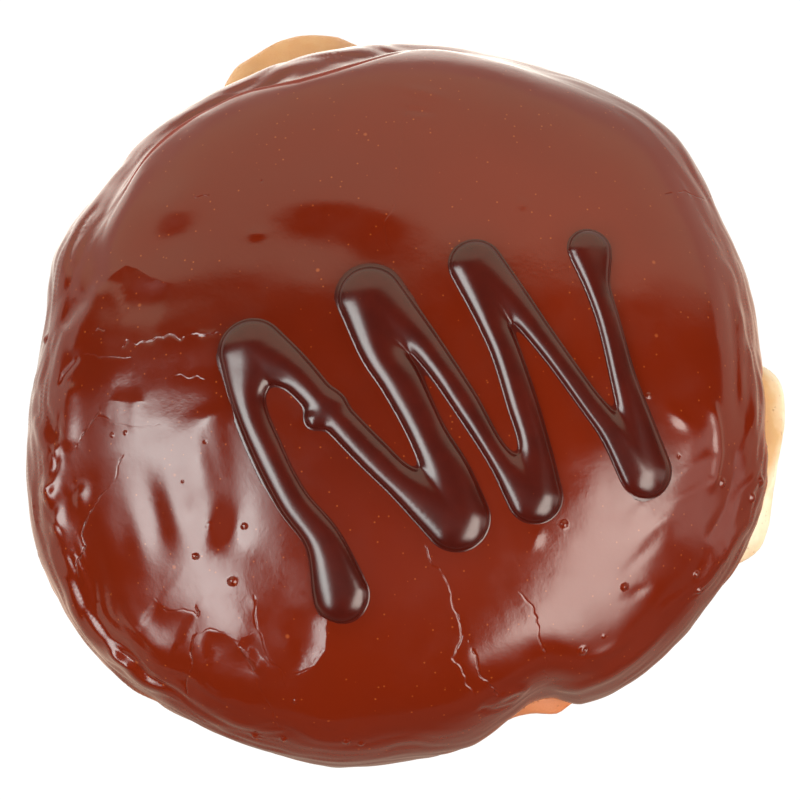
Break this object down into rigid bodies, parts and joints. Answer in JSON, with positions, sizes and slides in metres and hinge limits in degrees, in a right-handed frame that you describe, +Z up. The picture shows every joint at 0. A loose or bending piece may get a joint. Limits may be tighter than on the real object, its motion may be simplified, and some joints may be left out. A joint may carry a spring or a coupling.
{
  "type": "boston cream doughnut",
  "caption": "Round filled doughnut with glossy chocolate icing over its crown and a thick zigzag of darker chocolate piped on top.",
  "frame": {"origin": "on the surface it rests on, under the middle of the doughnut's box", "axes": "+Z up through the crown, front toward -Y, right toward +X as seen from the front"},
  "size_m": [0.0918, 0.0925, 0.0404],
  "materials": {
    "dough": "fried yeast dough, golden brown with a pale ring at its widest line",
    "icing": "smooth glossy milk chocolate icing with fine cracks and small bubbles",
    "drizzle": "very glossy dark chocolate, piped"
  },
  "bodies": {
    "root": {"bun": "dough", "icing": "icing"}
  },
  "joints": []
}
